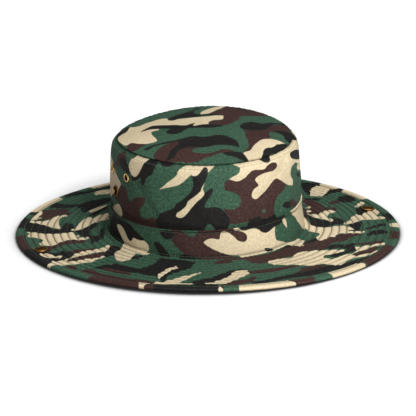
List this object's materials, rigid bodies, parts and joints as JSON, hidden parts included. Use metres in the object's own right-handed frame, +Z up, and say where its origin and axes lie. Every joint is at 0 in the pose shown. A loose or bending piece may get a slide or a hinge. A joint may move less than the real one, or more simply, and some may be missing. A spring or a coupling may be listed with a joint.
{
  "type": "bush hat",
  "caption": "Wide-brim cloth bush hat with a domed crown, a hat band, a quilted flat brim with a bound edge, vent eyelets and side snaps.",
  "frame": {"origin": "middle of the brim's outline, at the height of what the hat rests on", "axes": "+Z up, -Y to the front of the hat, +X to the right hand of someone who faces the front of the hat"},
  "size_m": [0.357, 0.3702, 0.1064],
  "materials": {
    "crown_twill": "matte printed cotton twill",
    "brim_twill": "matte printed cotton twill, quilted",
    "brass": "aged satin brass"
  },
  "bodies": {
    "root": {"crown_tip": "crown_twill", "crown_wall": "crown_twill", "hat_band": "crown_twill", "brim": "brim_twill", "brim_binding": "brim_twill", "vent_eyelet_left_front": "brass", "vent_eyelet_left_back": "brass", "crown_stud_left": "brass", "brim_snap_left": "brass", "snap_cap_left": "brass", "vent_eyelet_right_front": "brass", "vent_eyelet_right_back": "brass", "crown_stud_right": "brass", "brim_snap_right": "brass", "snap_cap_right": "brass"}
  },
  "joints": []
}
